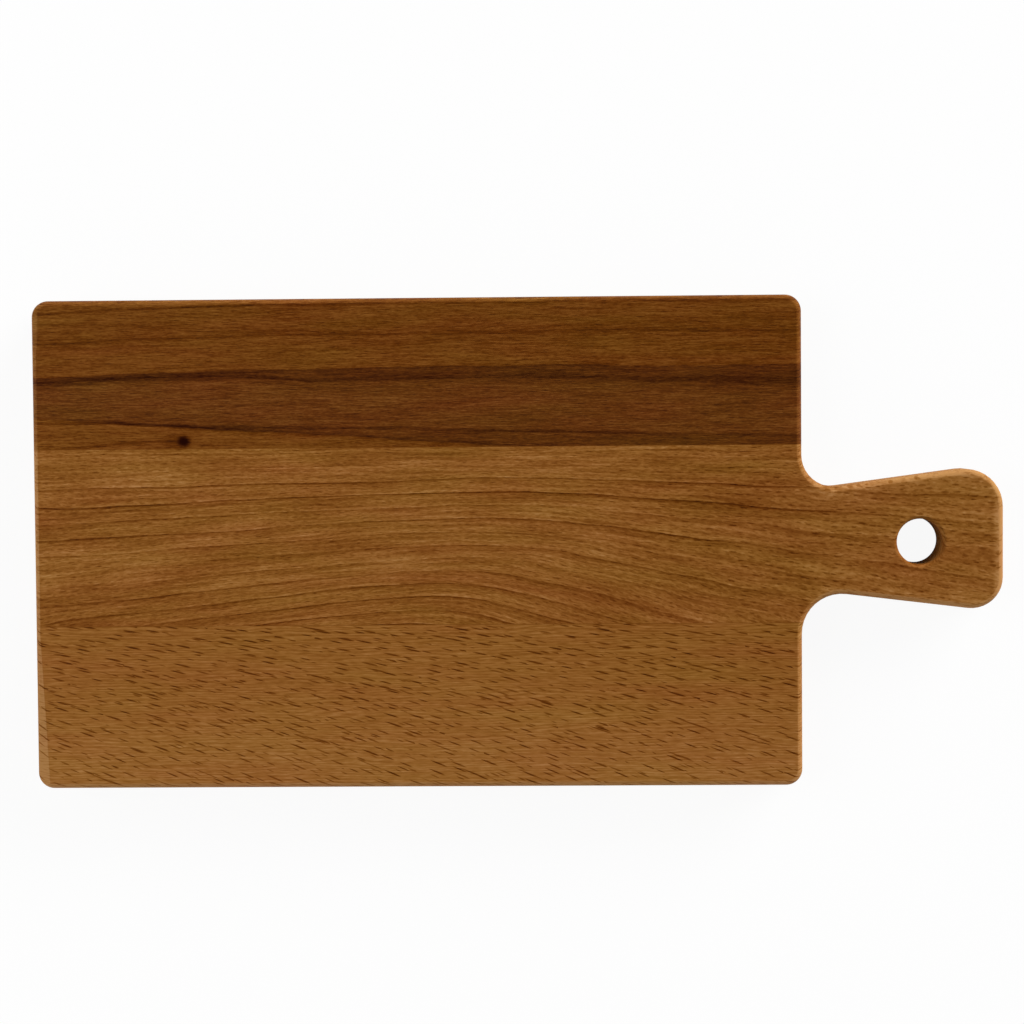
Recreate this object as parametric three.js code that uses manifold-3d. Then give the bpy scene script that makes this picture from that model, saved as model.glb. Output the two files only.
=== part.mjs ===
// A paddle-shaped wooden cutting board: three beech staves, glued edge to edge into one panel,
// sawn to outline, drilled for hanging, and rounded over along every edge.
// Millimetres and degrees. X runs along the grain towards the handle, Z is up,
// and the origin is the middle of the underside.
import * as THREE from "three";
import { mergeVertices } from "three/addons/utils/BufferGeometryUtils.js";
import Module from "manifold-3d";

// Overall sizes
const BLADE_LENGTH = 313.6;
const BLADE_WIDTH = 200;
const HANDLE_LENGTH = 81.6;
const THICKNESS = 20;

// Handle: half widths above and below the middle line, where its straight sides meet the blade and the end
const NECK_ABOVE = 20.1;
const NECK_BELOW = 19.8;
const HANDLE_END_ABOVE = 30.8;
const HANDLE_END_BELOW = 29.7;

// Rounding of the outline: convex corners are measured on the flat face, inside the round-over
const EDGE_RADIUS = 2.5;
const BLADE_CORNER_ON_FACE = 4.1;
const HANDLE_CORNER_ABOVE_ON_FACE = 12.7;
const HANDLE_CORNER_BELOW_ON_FACE = 10.2;
const NECK_FILLET_ABOVE = 13;
const NECK_FILLET_BELOW = 16.2;

// Hanging hole
const HOLE_DIAMETER = 18.6;
const HOLE_TO_HANDLE_END = 33.8;
const HOLE_BELOW_MIDDLE_LINE = 0.7;
const HOLE_RIM_RADIUS = 1.6;

// Glue joints: the handle is sawn whole from the middle stave, which is wider than the handle's end
const JOINT_ABOVE_HANDLE = 8.4;
const JOINT_BELOW_HANDLE = 3.6;
const GLUE_THICKNESS = 0.2;

// Flats sanded by hand on the blade's free end: how far each reaches in at its corner,
// how far along the end it fades out, and how steeply it falls
const LOWER_FLAT_REACH = 5.6;
const LOWER_FLAT_RUN = 108;
const UPPER_FLAT_REACH = 4.4;
const UPPER_FLAT_RUN = 48;
const FLAT_SLOPE = 14;

// Fineness of the round stretches
const OUTLINE_ARC_SEGMENTS = 5;
const ROUND_OVER_SEGMENTS = 5;
const HOLE_SEGMENTS = 48;
const RIM_SEGMENTS = 4;

// Places worked out from the sizes
const HANDLE_END_X = (BLADE_LENGTH + HANDLE_LENGTH) / 2;
const SHOULDER_X = HANDLE_END_X - HANDLE_LENGTH;
const FREE_END_X = SHOULDER_X - BLADE_LENGTH;
const TOP_EDGE_Y = BLADE_WIDTH / 2;
const BOTTOM_EDGE_Y = -BLADE_WIDTH / 2;
const UPPER_JOINT_Y = HANDLE_END_ABOVE + JOINT_ABOVE_HANDLE;
const LOWER_JOINT_Y = -HANDLE_END_BELOW - JOINT_BELOW_HANDLE;
const CUTTER_MARGIN = THICKNESS;

const wasm = await Module();
wasm.setup();

// A closed geometry as a solid that can be cut.
function solidFrom(geometry) {
  const bare = geometry.clone();
  bare.deleteAttribute("normal");
  bare.deleteAttribute("uv");
  const merged = mergeVertices(bare);
  const corners = Array.from(merged.index.array);
  const triangles = [];
  for (let i = 0; i < corners.length; i += 3) {
    const [a, b, c] = corners.slice(i, i + 3);
    const hasArea = a !== b && b !== c && c !== a;
    if (hasArea) triangles.push(a, b, c);
  }
  return new wasm.Manifold(
    new wasm.Mesh({
      numProp: 3,
      vertProperties: merged.attributes.position.array,
      triVerts: new Uint32Array(triangles),
    }),
  );
}

// A cut solid as a named mesh.
function meshFrom(name, solid, material) {
  const { vertProperties, triVerts } = solid.getMesh();
  const geometry = new THREE.BufferGeometry();
  geometry.setAttribute("position", new THREE.BufferAttribute(vertProperties, 3));
  geometry.setIndex(new THREE.BufferAttribute(triVerts, 1));
  geometry.computeVertexNormals();
  const mesh = new THREE.Mesh(geometry, material);
  mesh.name = name;
  return mesh;
}

// A closed outline through corners listed anticlockwise, each rounded by an arc that meets its sides smoothly.
function roundedOutline(corners) {
  const outline = new THREE.Shape();
  corners.forEach(({ x, y, radius }, i) => {
    const point = new THREE.Vector2(x, y);
    const before = corners.at(i - 1);
    const after = corners[(i + 1) % corners.length];
    const back = new THREE.Vector2(before.x - x, before.y - y).normalize();
    const ahead = new THREE.Vector2(after.x - x, after.y - y).normalize();
    const halfAngle = Math.acos(back.dot(ahead)) / 2;
    const middle = back.clone().add(ahead).normalize();
    const centre = point.clone().addScaledVector(middle, radius / Math.sin(halfAngle));
    const start = point.clone().addScaledVector(back, radius / Math.tan(halfAngle)).sub(centre);
    const end = point.clone().addScaledVector(ahead, radius / Math.tan(halfAngle)).sub(centre);
    const isHollow = back.cross(ahead) > 0;
    outline.absarc(centre.x, centre.y, radius, start.angle(), end.angle(), isHollow);
  });
  return outline;
}

// The whole panel: the outline at full thickness, with a quarter-round along every edge.
function panel() {
  const bladeCorner = BLADE_CORNER_ON_FACE + EDGE_RADIUS;
  const outline = roundedOutline([
    { x: FREE_END_X, y: BOTTOM_EDGE_Y, radius: bladeCorner },
    { x: SHOULDER_X, y: BOTTOM_EDGE_Y, radius: bladeCorner },
    { x: SHOULDER_X, y: -NECK_BELOW, radius: NECK_FILLET_BELOW },
    { x: HANDLE_END_X, y: -HANDLE_END_BELOW, radius: HANDLE_CORNER_BELOW_ON_FACE + EDGE_RADIUS },
    { x: HANDLE_END_X, y: HANDLE_END_ABOVE, radius: HANDLE_CORNER_ABOVE_ON_FACE + EDGE_RADIUS },
    { x: SHOULDER_X, y: NECK_ABOVE, radius: NECK_FILLET_ABOVE },
    { x: SHOULDER_X, y: TOP_EDGE_Y, radius: bladeCorner },
    { x: FREE_END_X, y: TOP_EDGE_Y, radius: bladeCorner },
  ]);
  const geometry = new THREE.ExtrudeGeometry(outline, {
    depth: THICKNESS - 2 * EDGE_RADIUS,
    curveSegments: OUTLINE_ARC_SEGMENTS,
    bevelSize: EDGE_RADIUS,
    bevelThickness: EDGE_RADIUS,
    bevelOffset: -EDGE_RADIUS,
    bevelSegments: ROUND_OVER_SEGMENTS,
  });
  return solidFrom(geometry.translate(0, 0, EDGE_RADIUS));
}

// The drill and rounding bit together: a spindle that flares out at both faces of the panel.
function hangingHoleCutter() {
  const bore = HOLE_DIAMETER / 2;
  const flared = bore + HOLE_RIM_RADIUS;
  const profile = new THREE.Path();
  profile.moveTo(0, -CUTTER_MARGIN);
  profile.lineTo(flared, -CUTTER_MARGIN);
  profile.absarc(flared, HOLE_RIM_RADIUS, HOLE_RIM_RADIUS, -Math.PI / 2, -Math.PI, true);
  profile.absarc(flared, THICKNESS - HOLE_RIM_RADIUS, HOLE_RIM_RADIUS, Math.PI, Math.PI / 2, true);
  profile.lineTo(flared, THICKNESS + CUTTER_MARGIN);
  profile.lineTo(0, THICKNESS + CUTTER_MARGIN);
  const geometry = new THREE.LatheGeometry(profile.getPoints(RIM_SEGMENTS), HOLE_SEGMENTS);
  geometry.rotateX(Math.PI / 2);
  geometry.translate(HANDLE_END_X - HOLE_TO_HANDLE_END, -HOLE_BELOW_MIDDLE_LINE, 0);
  return solidFrom(geometry);
}

// What the sanding block takes off the free end: a slab whose underside starts on the top face, at a line
// between two points, and falls away outwards.
function sandedFlatCutter(lowPoint, highPoint) {
  const along = highPoint.clone().sub(lowPoint).normalize();
  const outward = new THREE.Vector3(-along.y, along.x, 0);
  const slope = THREE.MathUtils.degToRad(FLAT_SLOPE);
  const falling = outward.multiplyScalar(Math.cos(slope)).setZ(-Math.sin(slope));
  const rising = along.clone().cross(falling);
  const geometry = new THREE.BoxGeometry(2 * BLADE_WIDTH, THICKNESS, THICKNESS);
  geometry.translate(0, THICKNESS / 2, THICKNESS / 2);
  geometry.applyMatrix4(new THREE.Matrix4().makeBasis(along, falling, rising));
  return solidFrom(geometry.translate(lowPoint.x, lowPoint.y, lowPoint.z));
}

// The part of a solid between two joints, each cut square to the faces.
function between(solid, lowY, highY) {
  const length = HANDLE_END_X - FREE_END_X + 2 * CUTTER_MARGIN;
  const slab = new THREE.BoxGeometry(length, highY - lowY, THICKNESS + 2 * CUTTER_MARGIN);
  return solid.intersect(solidFrom(slab.translate(0, (lowY + highY) / 2, THICKNESS / 2)));
}

const board = panel()
  .subtract(hangingHoleCutter())
  .subtract(
    sandedFlatCutter(
      new THREE.Vector3(FREE_END_X + LOWER_FLAT_REACH, BOTTOM_EDGE_Y, THICKNESS),
      new THREE.Vector3(FREE_END_X, BOTTOM_EDGE_Y + LOWER_FLAT_RUN, THICKNESS),
    ),
  )
  .subtract(
    sandedFlatCutter(
      new THREE.Vector3(FREE_END_X, TOP_EDGE_Y - UPPER_FLAT_RUN, THICKNESS),
      new THREE.Vector3(FREE_END_X + UPPER_FLAT_REACH, TOP_EDGE_Y, THICKNESS),
    ),
  );

const halfGlue = GLUE_THICKNESS / 2;
const pastTop = TOP_EDGE_Y + CUTTER_MARGIN;
const pastBottom = BOTTOM_EDGE_Y - CUTTER_MARGIN;
const pieces = [
  { name: "upper_stave", low: UPPER_JOINT_Y + halfGlue, high: pastTop, color: 0x7a4a22, roughness: 0.5 },
  {
    name: "upper_glue_line",
    low: UPPER_JOINT_Y - halfGlue,
    high: UPPER_JOINT_Y + halfGlue,
    color: 0x6b4020,
    roughness: 0.4,
  },
  {
    name: "middle_stave",
    low: LOWER_JOINT_Y + halfGlue,
    high: UPPER_JOINT_Y - halfGlue,
    color: 0x9a622e,
    roughness: 0.5,
  },
  {
    name: "lower_glue_line",
    low: LOWER_JOINT_Y - halfGlue,
    high: LOWER_JOINT_Y + halfGlue,
    color: 0x7d4e26,
    roughness: 0.4,
  },
  { name: "lower_stave", low: pastBottom, high: LOWER_JOINT_Y - halfGlue, color: 0x96602d, roughness: 0.5 },
];

const cuttingBoard = new THREE.Group();
cuttingBoard.name = "cutting_board";
for (const { name, low, high, color, roughness } of pieces) {
  const wood = new THREE.MeshStandardMaterial({ color, roughness, metalness: 0 });
  cuttingBoard.add(meshFrom(name, between(board, low, high), wood));
}

export default cuttingBoard;
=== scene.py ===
import math

import bmesh
import bpy
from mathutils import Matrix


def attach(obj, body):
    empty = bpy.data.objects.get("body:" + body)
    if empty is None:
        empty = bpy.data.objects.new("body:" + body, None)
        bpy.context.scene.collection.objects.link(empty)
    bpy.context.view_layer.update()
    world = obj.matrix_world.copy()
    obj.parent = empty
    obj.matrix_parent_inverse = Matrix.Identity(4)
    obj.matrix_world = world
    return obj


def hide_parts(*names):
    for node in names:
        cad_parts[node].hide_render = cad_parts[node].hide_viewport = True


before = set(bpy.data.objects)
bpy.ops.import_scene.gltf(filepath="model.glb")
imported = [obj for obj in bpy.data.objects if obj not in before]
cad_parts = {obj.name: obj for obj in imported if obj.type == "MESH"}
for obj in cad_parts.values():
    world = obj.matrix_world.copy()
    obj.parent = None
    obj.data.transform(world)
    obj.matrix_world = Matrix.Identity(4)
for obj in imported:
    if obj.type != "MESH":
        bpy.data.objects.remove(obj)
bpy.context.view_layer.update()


# Middle stave
# The widest strip of the panel, flat-sawn beech, with the whole handle and its hanging hole sawn from it.
# Planed, glued between its neighbours, rounded over along its edges, sanded and oiled to a satin finish.

MM = 0.001
TOP_FACE = 20


class Grain:
    """A number that varies from place to place in the wood, worked out by shader nodes."""

    def __init__(self, tree, socket):
        self.tree = tree
        self.socket = socket

    def feed(self, socket, value):
        if isinstance(value, Grain):
            self.tree.links.new(value.socket, socket)
        else:
            socket.default_value = value

    def node(self, kind, inputs, **settings):
        made = self.tree.nodes.new(kind)
        for name, setting in settings.items():
            setattr(made, name, setting)
        for name, value in inputs.items():
            self.feed(made.inputs[name], value)
        return made

    def output(self, made, name):
        return Grain(self.tree, made.outputs[name])

    def reckon(self, operation, *others):
        inputs = dict(enumerate((self, *others)))
        return self.output(self.node("ShaderNodeMath", inputs, operation=operation), 0)

    def __add__(self, other):
        return self.reckon("ADD", other)

    def __sub__(self, other):
        return self.reckon("SUBTRACT", other)

    def __mul__(self, other):
        return self.reckon("MULTIPLY", other)

    def __truediv__(self, other):
        return self.reckon("DIVIDE", other)

    def __rsub__(self, other):
        return self * -1 + other

    def __rtruediv__(self, other):
        return self.reckon("POWER", -1) * other

    __radd__ = __add__
    __rmul__ = __mul__

    def rise(self, start, end):
        """Climbs smoothly from 0 to 1 as the number goes from start to end."""
        inputs = {"Value": self, "From Min": start, "From Max": end}
        made = self.node("ShaderNodeMapRange", inputs, interpolation_type="SMOOTHSTEP")
        return self.output(made, "Result")


def places(material):
    """Distances from the middle of the underside along X, Y and Z, in millimetres."""
    tree = material.node_tree
    coordinates = tree.nodes.new("ShaderNodeTexCoord")
    split = tree.nodes.new("ShaderNodeSeparateXYZ")
    tree.links.new(coordinates.outputs["Object"], split.inputs[0])
    return [Grain(tree, split.outputs[axis]) * (1 / MM) for axis in "XYZ"]


def drift(place, lengths, seed, detail=2.0):
    """Smooth unevenness, mostly within -1 and 1, with a typical length of its own along each direction."""
    first = place[0]
    inputs = {i: value / length + seed for i, (value, length) in enumerate(zip(place, lengths))}
    point = first.output(first.node("ShaderNodeCombineXYZ", inputs), 0)
    noise = first.node("ShaderNodeTexNoise", {"Vector": point, "Scale": 1.0, "Detail": detail})
    return (first.output(noise, 0) - 0.5) * 4


SPECK_SCATTER = 0.85
SPECK_SMALLEST = 0.65
SPECK_SIZE_RANGE = 0.5
SPECK_FAINTEST = 0.6
SPECK_DEPTH_RANGE = 0.4


def dashes(place, spacing, half_size, seed, lean=0.0, taper=0.0):
    """Scattered spindle-shaped specks of many sizes: 1 in the middle of the darkest, 0 between them.

    They lean across the grain by a share of their length, and a tapered one is thicker at its far end.
    """
    first = place[0]
    inputs = {i: value / gap + seed for i, (value, gap) in enumerate(zip(place, spacing))}
    point = first.output(first.node("ShaderNodeCombineXYZ", inputs), 0)
    scatter = {"Vector": point, "Scale": 1.0, "Randomness": SPECK_SCATTER}
    cells = first.node("ShaderNodeTexVoronoi", scatter)
    centre = first.node("ShaderNodeSeparateXYZ", {0: first.output(cells, "Position")})
    chance = first.node("ShaderNodeSeparateColor", {0: first.output(cells, "Color")})
    size = first.output(chance, 0) * SPECK_SIZE_RANGE + SPECK_SMALLEST
    depth = first.output(chance, 1) * SPECK_DEPTH_RANGE + SPECK_FAINTEST
    steps = [(inputs[i] - first.output(centre, i)) * spacing[i] for i in range(3)]
    steps[1] = steps[1] + steps[0] * lean
    shares = [step / reach for step, reach in zip(steps, half_size)]
    shares[1] = shares[1] / (shares[0] * taper + 1)
    away = sum(share * share for share in shares)
    return (away / (size * size)).rise(1.0, 0.2) * depth


def srgb(red, green, blue):
    """A colour as it is seen, 0 to 255, in the linear values that a shader takes."""
    shares = [value / 255 for value in (red, green, blue)]
    return [s / 12.92 if s < 0.04 else ((s + 0.055) / 1.055) ** 2.4 for s in shares] + [1.0]


# Oiled beech from its darkest specks to its palest streaks: a tone, and the colour at that tone.
BEECH_TONES = [
    (0.11, srgb(28, 4, 0)),
    (0.19, srgb(49, 16, 1)),
    (0.27, srgb(69, 32, 5)),
    (0.37, srgb(95, 49, 8)),
    (0.49, srgb(125, 76, 27)),
    (0.57, srgb(145, 95, 43)),
    (0.68, srgb(173, 124, 73)),
]
SATIN = 0.42
OIL_GLOSS = 0.07
SIDE_DULLNESS = 0.42
DULLNESS_OF_DIPS = 1.5
# How much paler the rounded edges are coloured: partly sanded wood and partly a painted highlight where
# light catches them.
EDGE_WEAR_AND_HIGHLIGHT = 0.08
# Within a few millimetres of the free end the edges are coloured paler still: partly sanded wood, partly a
# painted highlight.
FREE_END_X = -197.6
FREE_END_WEAR_AND_HIGHLIGHT = 0.05
FREE_END_BAND_FROM = 8
FREE_END_BAND_FULL = 2

# How far a surface faces up or down, from 1 on the flat faces to 0 on the sides.
FLAT_FACE = 0.995
ROUNDED_EDGE = 0.96
EDGE_TO_SIDE = 0.7
SAWN_SIDE = 0.1


def oiled_beech(name):
    material = bpy.data.materials.new(name)
    material.use_nodes = True
    return material


def finish_beech(material, tone, redness, relief, wear_and_highlight=EDGE_WEAR_AND_HIGHLIGHT, richness=1.0, dullness=0.0):
    """Colours the wood by its tone and redness, with a satin oil finish over a faint relief in millimetres.

    The rounded edges are coloured paler, partly as sanded wood and partly as a painted highlight, most of
    all at the free end, and the sawn sides are duller than the planed faces.
    """
    shader = material.node_tree.nodes["Principled BSDF"]
    coordinates = tone.node("ShaderNodeTexCoord", {})
    split = tone.node("ShaderNodeSeparateXYZ", {0: tone.output(coordinates, "Normal")})
    facing = tone.output(split, "Z").reckon("ABSOLUTE")
    from_free_end = places(material)[0] - FREE_END_X
    at_free_end = from_free_end.rise(FREE_END_BAND_FROM, FREE_END_BAND_FULL)
    # The rounded edges are coloured paler here: partly sanded wood, partly a painted highlight.
    worn_and_highlighted = tone + facing.rise(FLAT_FACE, ROUNDED_EDGE) * (at_free_end * FREE_END_WEAR_AND_HIGHLIGHT + wear_and_highlight)
    sawn = facing.rise(EDGE_TO_SIDE, SAWN_SIDE)
    roughness = sawn * SIDE_DULLNESS - relief * DULLNESS_OF_DIPS + SATIN + dullness
    ramp = tone.node("ShaderNodeValToRGB", {0: worn_and_highlighted})
    stops = ramp.color_ramp.elements
    while len(stops) < len(BEECH_TONES):
        stops.new(0.5)
    for stop, (place, colour) in zip(stops, BEECH_TONES):
        stop.position = place
        stop.color = colour
    tint = {"Hue": 0.5 - redness, "Saturation": richness, "Color": tone.output(ramp, "Color")}
    hue = tone.node("ShaderNodeHueSaturation", tint)
    bump = tone.node("ShaderNodeBump", {"Distance": MM, "Height": relief})
    tone.feed(shader.inputs["Base Color"], tone.output(hue, "Color"))
    tone.feed(shader.inputs["Normal"], tone.output(bump, "Normal"))
    tone.feed(shader.inputs["Roughness"], roughness)
    shader.inputs["Specular IOR Level"].default_value = OIL_GLOSS


WELD = 0.001 * MM
FLAT_WITHIN = math.radians(0.5)
SHARP_FROM = math.radians(40)


def board_piece(node, material):
    """The solid of a piece with its facets welded, its flat faces made whole and its round edges smooth."""
    mesh = bmesh.new()
    mesh.from_mesh(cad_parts[node].data)
    bmesh.ops.remove_doubles(mesh, verts=mesh.verts, dist=WELD)
    bmesh.ops.dissolve_limit(mesh, angle_limit=FLAT_WITHIN, verts=mesh.verts, edges=mesh.edges)
    for face in mesh.faces:
        face.smooth = True
    surface = bpy.data.meshes.new(node + "_finished")
    mesh.to_mesh(surface)
    mesh.free()
    surface.set_sharp_from_angle(angle=SHARP_FROM)
    surface.materials.append(material)
    piece = bpy.data.objects.new(node + "_finished", surface)
    bpy.context.scene.collection.objects.link(piece)
    even = piece.modifiers.new("even_shading", "WEIGHTED_NORMAL")
    even.keep_sharp = True
    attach(piece, "root")
    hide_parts(node)


# The growth rings arch over a crest that leans along the board, and spread out towards the handle.
ARCH_CREST_X = -10
ARCH_CREST_LEAN = 0.61
ARCH_ROUNDNESS = 34
ARCH_RISE = 0.139
ARCH_SKEW = 0.051
ARCH_SPREAD = 0.028
RING_SPACING = 5.4
RING_START = 4.7
PITH_BELOW_FACE = 50
PITH_Y = -75

# The handle: the hole's middle and where its rim ends, and the distance along and half width at each end.
HOLE = (163.8, -0.7)
RIM_START = 11
RIM_END = 14
RIM_DULLNESS = 0.3
NECK = (116, 20)
NECK_FILLET = 12
HANDLE_END = (197.6, 30.3)
# Paler bands along the handle's sides and across its end: partly rubbed by hands, partly a painted
# highlight.
HAND_BAND_REACH = 5.5
HAND_BAND_FULL = 1.5
HAND_WEAR_AND_HIGHLIGHT = 0.06
HANDLE_END_WEAR_AND_HIGHLIGHT = 0.06

MIDDLE_TONE = 0.535

middle_beech = oiled_beech("middle_stave_beech")
x, y, z = places(middle_beech)
from_crest = x - ARCH_CREST_X - y * ARCH_CREST_LEAN
round_crest = (from_crest * from_crest + ARCH_ROUNDNESS**2).reckon("SQRT") - ARCH_ROUNDNESS
arch = from_crest * ARCH_SKEW + round_crest * ARCH_RISE
into_wood = (z - TOP_FACE) * PITH_BELOW_FACE / (y - PITH_Y)
waver = drift((x, y, z), (55, 11, 11), 3.1) * 0.7
level = (y + arch) / (arch * ARCH_SPREAD + 1) + into_wood + waver
ring = (level - RING_START) / RING_SPACING
ring_number = ring.reckon("FLOOR")
through_ring = ring - ring_number
chance = ring.node("ShaderNodeTexWhiteNoise", {"W": ring_number}, noise_dimensions="1D")
strength = ring.output(chance, "Value") * 0.7 + drift((x, ring_number, z), (45, 1, 40), 5.3) * 0.4 + 0.25
strength = strength * (level.rise(36, 22) * 0.7 + 0.3) * (x.rise(150, 80) * 0.5 + 0.5)
late_wood = through_ring.reckon("POWER", 3) * 0.45 + through_ring.rise(0.84, 0.95) * 0.55
late_wood = late_wood * through_ring.rise(1.0, 0.985) * strength
early_wood = through_ring.rise(0.16, 0.02)
along = (x, level, z)
broad = drift(along, (60, 7, 7), 7.7)
lines = drift(along, (40, 0.9, 3.0), 8.4, 1.0)
streaks = drift(along, (26, 1.3, 2.0), 9.2)
fibres = drift(along, (2.7, 0.42, 0.6), 11.4)
ray_ends = dashes(along, (4.8, 1.4, 4.0), (1.9, 0.23, 5.0), 13.5)
fine_rays = dashes(along, (2.6, 0.9, 3.0), (0.8, 0.18, 4.0), 17.5)
pale_rays = dashes(along, (4.2, 1.2, 4.0), (1.3, 0.2, 5.0), 19.5)
middle_tone = MIDDLE_TONE + broad * 0.04 + lines * 0.04 + streaks * 0.05 + fibres * 0.06 + early_wood * 0.02
middle_tone = middle_tone - late_wood * 0.18 - fine_rays * 0.06 + pale_rays * 0.04 - x.rise(-20, 60) * 0.02
middle_tone = middle_tone - ray_ends * (x.rise(0, 150) * 0.03 + 0.09)
middle_redness = drift(along, (50, 8, 8), 21.3) * 0.006
from_hole_x = x - HOLE[0]
from_hole_y = y - HOLE[1]
from_hole = (from_hole_x * from_hole_x + from_hole_y * from_hole_y).reckon("SQRT")
past_rim = from_hole.rise(RIM_START, RIM_END)
middle_relief = ray_ends * -0.03 + fibres * 0.008
handle_slope = (HANDLE_END[1] - NECK[1]) / (HANDLE_END[0] - NECK[0])
from_side = (x - NECK[0]) * handle_slope + NECK[1] - y.reckon("ABSOLUTE")
from_edge = from_side.reckon("MINIMUM", HANDLE_END[0] - x)
# The handle's sides and end are coloured paler: partly rubbed by hands, partly a painted highlight.
handle_sides_band = from_edge.rise(HAND_BAND_REACH, HAND_BAND_FULL) * x.rise(NECK[0], NECK[0] + NECK_FILLET)
at_handle_end = x.rise(HANDLE_END[0] - HAND_BAND_REACH, HANDLE_END[0] - 1)
middle_tone = middle_tone + handle_sides_band * HAND_WEAR_AND_HIGHLIGHT + at_handle_end * HANDLE_END_WEAR_AND_HIGHLIGHT + x.rise(140, 165) * 0.02
# Painted highlight and sanded paleness on the rounded edges, left out round the hole's rim.
middle_wear_and_highlight = past_rim * EDGE_WEAR_AND_HIGHLIGHT
rim_dullness = (1 - past_rim) * RIM_DULLNESS
finish_beech(middle_beech, middle_tone, middle_redness, middle_relief, middle_wear_and_highlight, 1.0, rim_dullness)
board_piece("middle_stave", middle_beech)


# Lower stave
# A strip sawn nearly along the rays of the tree, so that they show as slanting dark flecks.
# The slant grows towards the board's long edge. Edge-glued to the middle stave.

LOWER_JOINT_Y = -33.3
FLECK_SLOPE_AT_JOINT = 0.17
FLECK_SLOPE_GROWTH = 0.004
FLECK_SLOPE_MEAN = 0.3
FLECK_DIVE = 1.4
FINE_RING_SPACING = 1.15
FLECK_DEPTH = 0.24
SMALL_FLECK_DEPTH = 0.175
LONG_FLECK_DEPTH = 0.215
LOWER_TONE = 0.538

lower_beech = oiled_beech("lower_stave_beech")
x, y, z = places(lower_beech)
lean = (LOWER_JOINT_Y - y) * FLECK_SLOPE_GROWTH + (FLECK_SLOPE_AT_JOINT - FLECK_SLOPE_MEAN)
waver = drift((x, y, z), (60, 9, 9), 23.1) * 0.6
slanted = (x, y + x * FLECK_SLOPE_MEAN + (z - TOP_FACE) * FLECK_DIVE, z)
level = y + waver + (z - TOP_FACE) * 0.5
along = (x, level, z)
flecks = dashes(slanted, (9.6, 3.4, 12), (3.8, 0.41, 14), 27.1, lean, 0.25)
small_flecks = dashes(slanted, (11, 6.0, 10), (2.1, 0.36, 12), 31.7, lean, 0.2)
long_flecks = dashes(slanted, (30, 13, 20), (6.5, 0.38, 24), 29.4, lean, 0.2)
wander = drift(along, (45, 5, 6), 33.3)
fine_rings = ((level / FINE_RING_SPACING + wander * 1.2) * math.tau).reckon("SINE")
streaks = drift(along, (35, 3.0, 6), 35.9)
fibres = drift(along, (4, 0.42, 0.8), 37.4)
paler = y.rise(-40, -100)
marks = (flecks * FLECK_DEPTH).reckon("MAXIMUM", small_flecks * SMALL_FLECK_DEPTH)
marks = marks.reckon("MAXIMUM", long_flecks * LONG_FLECK_DEPTH)
lower_tone = LOWER_TONE + paler * 0.035 + fine_rings * 0.027 + streaks * 0.015 + fibres * 0.055
lower_tone = lower_tone - x.rise(0, 90) * y.rise(-95, -50) * 0.014 - marks
lower_redness = drift(along, (60, 10, 10), 39.3) * 0.005
finish_beech(lower_beech, lower_tone, lower_redness, flecks * -0.03 + fibres * 0.008)
board_piece("lower_stave", lower_beech)


# Upper stave
# A strip from nearer the heart of the tree, with a dark heartwood stripe and a pin knot.
# Edge-glued to the middle stave and finished with it.

upper_beech = oiled_beech("upper_stave_beech")
x, y, z = places(upper_beech)


def stripes(distance, start, end, stops):
    """Tones across the grain: each stop is a distance in millimetres and the tone there."""
    share = (distance - start) / (end - start)
    ramp = distance.node("ShaderNodeValToRGB", {0: share})
    marks = ramp.color_ramp.elements
    while len(marks) < len(stops):
        marks.new(0.5)
    for mark, (place, tone) in zip(marks, stops):
        mark.position = (place - start) / (end - start)
        mark.color = (tone, tone, tone, 1)
    return distance.output(ramp, "Color")


def streak_at(distance, half_width):
    """A soft dark line: 1 where the distance is nothing, 0 from the half width on."""
    return (distance * distance).rise(half_width**2, 0)


HEART_CREST_X = 25
HEART_CREST_Y = 72
HEART_BOW = 5.7e-5
HEART_FOOT_Y = 39.4
HEART_FOOT_SLOPE = 0.0655
STRAND_Y = 45.7
STRAND_SLOPE = 0.0235
BELOW_HEART = 0.405
KNOT = (-135.6, 42.3)
KNOT_CORE = (3.9, 3.2)
KNOT_HALO = (8.0, 4.0)
KNOT_HALO_SHIFT = 2.5
KNOT_DARKNESS = 0.3
HALO_DARKNESS = 0.07
KNOT_TRAIL_BOW = 0.0012
# The dark wood's rounded edges get less of the paleness: partly sanded wood, partly a painted highlight.
DARK_WOOD_WEAR_AND_HIGHLIGHT = 0.05

waver = drift((x, y, z), (45, 9, 9), 43.1) * 0.5
level = y + waver + (z - TOP_FACE) * 0.35
from_heart_crest = x - HEART_CREST_X
above_heart = level - HEART_CREST_Y + from_heart_crest * from_heart_crest * HEART_BOW
above_foot = level - HEART_FOOT_Y + x * HEART_FOOT_SLOPE
above_strand = level - STRAND_Y + x * STRAND_SLOPE
sinking = x.rise(-150, -200) * 0.8
broadening = x.rise(0, 130) * 0.6 - x.rise(-70, -140) * 0.6 + 1
in_heart = stripes((above_heart + sinking) / broadening, -40, 0, [
    (-40.0, 0.355),
    (-14.0, 0.372),
    (-8.0, 0.358),
    (-5.6, 0.325),
    (-4.6, 0.255),
    (-4.0, 0.260),
    (-3.0, 0.305),
    (-1.0, 0.315),
    (0.0, 0.275),
])
beyond_heart = stripes(above_heart + sinking, 0, 32, [
    (0.0, 0.402),
    (4.0, 0.397),
    (13.0, 0.392),
    (13.8, 0.305),
    (14.7, 0.375),
    (20.0, 0.398),
    (25.2, 0.398),
    (26.1, 0.310),
    (27.0, 0.405),
    (32.0, 0.402),
])
leaving_heart = (above_heart + sinking).rise(-0.4, 0.5)
below_foot = above_foot.rise(0.2, -0.4)
between_strands = above_strand.rise(0.3, -0.3) * (1 - below_foot)
knot_trail = level - KNOT[1] + (x - KNOT[0]) * (x - KNOT[0]) * KNOT_TRAIL_BOW
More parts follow.
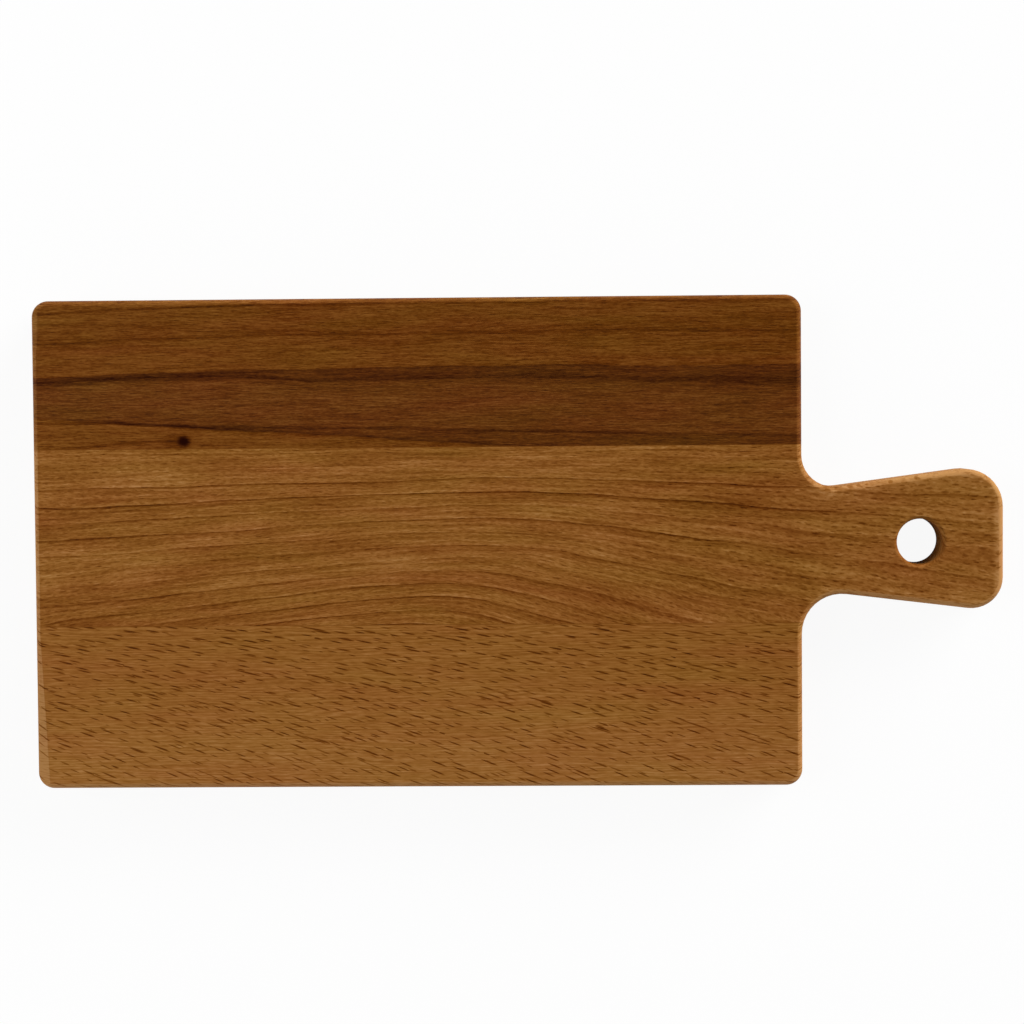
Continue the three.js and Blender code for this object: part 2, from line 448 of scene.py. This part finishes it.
before_knot = x.rise(KNOT[0], KNOT[0] - 8)
strands = streak_at(above_strand, 0.9) + streak_at(above_foot, 1.1)
strands = strands + streak_at(knot_trail, 0.9) * before_knot
strand_strength = drift((x, y, z), (28, 5, 20), 57.5) * 0.03 + 0.06
along = (x, level, z)
broad = drift(along, (60, 6, 6), 45.7)
streaks = drift(along, (26, 1.2, 2.0), 47.2)
lines = drift(along, (6, 0.36, 1.5), 50.2)
fibres = drift(along, (1.6, 0.36, 0.6), 49.4)
ray_ends = dashes(along, (5.4, 1.4, 4.0), (2.2, 0.2, 5.0), 51.5)
pale_rays = dashes(along, (4.2, 1.2, 4.0), (1.3, 0.2, 5.0), 53.5)
beyond_heart = beyond_heart - above_heart.rise(0.5, -3.5) * 0.06
in_heart = in_heart - x.rise(-80, -150) * streak_at(above_heart + sinking + 1.8, 2.6) * 0.06
upper_tone = in_heart + (beyond_heart - in_heart) * leaving_heart - between_strands * 0.035
upper_tone = upper_tone * (1 - below_foot) + below_foot * BELOW_HEART - strands * strand_strength
upper_tone = upper_tone + x.rise(90, -150) * 0.018 + broad * 0.02
upper_tone = upper_tone + streaks * 0.035 + lines * 0.07 + fibres * 0.05
upper_tone = upper_tone - ray_ends * 0.08 + pale_rays * 0.03
core = [(x - KNOT[0]) / KNOT_CORE[0], (y - KNOT[1]) / KNOT_CORE[1]]
halo = [(x - KNOT[0] + KNOT_HALO_SHIFT) / KNOT_HALO[0], (y - KNOT[1]) / KNOT_HALO[1]]
from_knot = sum(share * share for share in core).reckon("SQRT")
upper_tone = upper_tone - from_knot.rise(1.0, 0.15) * KNOT_DARKNESS
upper_tone = upper_tone - sum(share * share for share in halo).rise(1.0, 0.0) * HALO_DARKNESS
upper_redness = drift(along, (50, 8, 8), 55.3) * 0.006
upper_relief = ray_ends * -0.03 + lines * 0.008
heart_richness = 1 - (1 - leaving_heart) * (1 - below_foot) * 0.015
finish_beech(upper_beech, upper_tone, upper_redness, upper_relief, DARK_WOOD_WEAR_AND_HIGHLIGHT, heart_richness)
board_piece("upper_stave", upper_beech)


# Glue lines
# The cured wood glue in the two edge joints, squeezed out thin when the staves were clamped together.
# Scraped and sanded flush with the wood, and oiled with it.

GLUE_TONE = 0.42

glue = oiled_beech("cured_glue")
place = places(glue)
glue_tone = drift(place, (20, 2, 2), 61.0) * 0.02 + GLUE_TONE
finish_beech(glue, glue_tone, 0.0, drift(place, (2, 2, 2), 63.0) * 0.01)
for node in ("upper_glue_line", "lower_glue_line"):
    board_piece(node, glue)


# Floor
# A plain white sheet that the board lies on, much wider than the board.
# It is shown white and still holds the board's soft shadow.


def shown_white(tree):
    """1 for what the camera sees of the studio, also mirrored or through glass, and 0 for its light."""
    rays = tree.nodes.new("ShaderNodeLightPath")
    seen = Grain(tree, rays.outputs["Is Camera Ray"])
    mirrored = Grain(tree, rays.outputs["Is Glossy Ray"])
    through = Grain(tree, rays.outputs["Is Transmission Ray"])
    return seen.reckon("MAXIMUM", mirrored).reckon("MAXIMUM", through)


SHEET = 12.0
SHEET_GLOW = 0.93
SHEET_GREY = 0.9
SHEET_GAP = 0.1 * MM
floor_mesh = bpy.data.meshes.new("floor")
corners = [(-SHEET, -SHEET, 0), (SHEET, -SHEET, 0), (SHEET, SHEET, 0), (-SHEET, SHEET, 0)]
floor_mesh.from_pydata(corners, [], [range(4)])
floor = bpy.data.objects.new("floor", floor_mesh)
floor.location.z = -SHEET_GAP
bpy.context.scene.collection.objects.link(floor)
white_sheet = bpy.data.materials.new("white_sheet")
white_sheet.use_nodes = True
floor_mesh.materials.append(white_sheet)
tree = white_sheet.node_tree
paper = tree.nodes["Principled BSDF"]
paper.inputs["Base Color"].default_value = (SHEET_GREY, SHEET_GREY, SHEET_GREY, 1)
paper.inputs["Roughness"].default_value = 0.9
share = shown_white(tree) * SHEET_GLOW
glow = tree.nodes.new("ShaderNodeEmission")
mix = tree.nodes.new("ShaderNodeMixShader")
share.feed(mix.inputs[0], share)
tree.links.new(paper.outputs[0], mix.inputs[1])
tree.links.new(glow.outputs[0], mix.inputs[2])
tree.links.new(mix.outputs[0], tree.nodes["Material Output"].inputs["Surface"])


# Light
# A white studio, dim straight above so that the flat face keeps its colour. A large softbox low at the upper
# right picks out the rounded edges, with weaker ones at the left and the near side. None of the softboxes
# is mirrored in the oil, so that the face keeps its colour from low down too.

STUDIO_LIGHT = 0.33
CEILING_EDGE = 0.62
CEILING_MIDDLE = 0.96
CEILING_DIMMING = 0.97

world = bpy.data.worlds.new("studio")
bpy.context.scene.world = world
world.use_nodes = True
tree = world.node_tree
sky = tree.nodes["Background"]
sky.inputs["Color"].default_value = (1, 1, 1, 1)
direction = tree.nodes.new("ShaderNodeTexCoord")
split = tree.nodes.new("ShaderNodeSeparateXYZ")
tree.links.new(direction.outputs["Generated"], split.inputs[0])
upward = Grain(tree, split.outputs["Z"])
dimmed = 1 - upward.rise(CEILING_EDGE, CEILING_MIDDLE) * CEILING_DIMMING
strength = dimmed * (shown_white(tree) * (1 - STUDIO_LIGHT) + STUDIO_LIGHT)
strength.feed(sky.inputs["Strength"], strength)


def softbox(name, place, width, height, power):
    """A soft lamp turned to the board, with its place and size in metres and its power in watts."""
    lamp = bpy.data.lights.new(name, "AREA")
    lamp.shape = "RECTANGLE"
    lamp.size = width
    lamp.size_y = height
    lamp.energy = power
    box = bpy.data.objects.new(name, lamp)
    box.location = place
    box.rotation_euler = (-box.location).to_track_quat("-Z", "Y").to_euler()
    box.visible_glossy = False
    bpy.context.scene.collection.objects.link(box)


softbox("key_softbox", (2.40, 2.01, 1.02), 2.4, 1.2, 160)
softbox("left_softbox", (-1.30, 0.1, 0.42), 1.2, 0.6, 6)
softbox("high_left_softbox", (-1.3, 0.1, 1.5), 1.2, 0.9, 10)
softbox("near_softbox", (0.3, -1.9, 0.7), 2.0, 0.8, 7)


# Camera
# Almost straight above the board, as the photograph was taken.
# Its place and turn, in metres and degrees, were worked out from the board's outline.

FOCAL_PIXELS = 2340
PICTURE_PIXELS = 1024
SENSOR_WIDTH = 36
CAMERA_PLACE = (0.01955, 0.04983, 0.9719)
CAMERA_TURN = (-2.252, 1.270, -0.458)

camera_data = bpy.data.cameras.new("camera")
camera_data.sensor_width = SENSOR_WIDTH
camera_data.lens = SENSOR_WIDTH * FOCAL_PIXELS / PICTURE_PIXELS
camera = bpy.data.objects.new("camera", camera_data)
camera.location = CAMERA_PLACE
camera.rotation_euler = [math.radians(angle) for angle in CAMERA_TURN]
bpy.context.scene.collection.objects.link(camera)
bpy.context.scene.camera = camera
bpy.context.scene.view_settings.view_transform = "Standard"
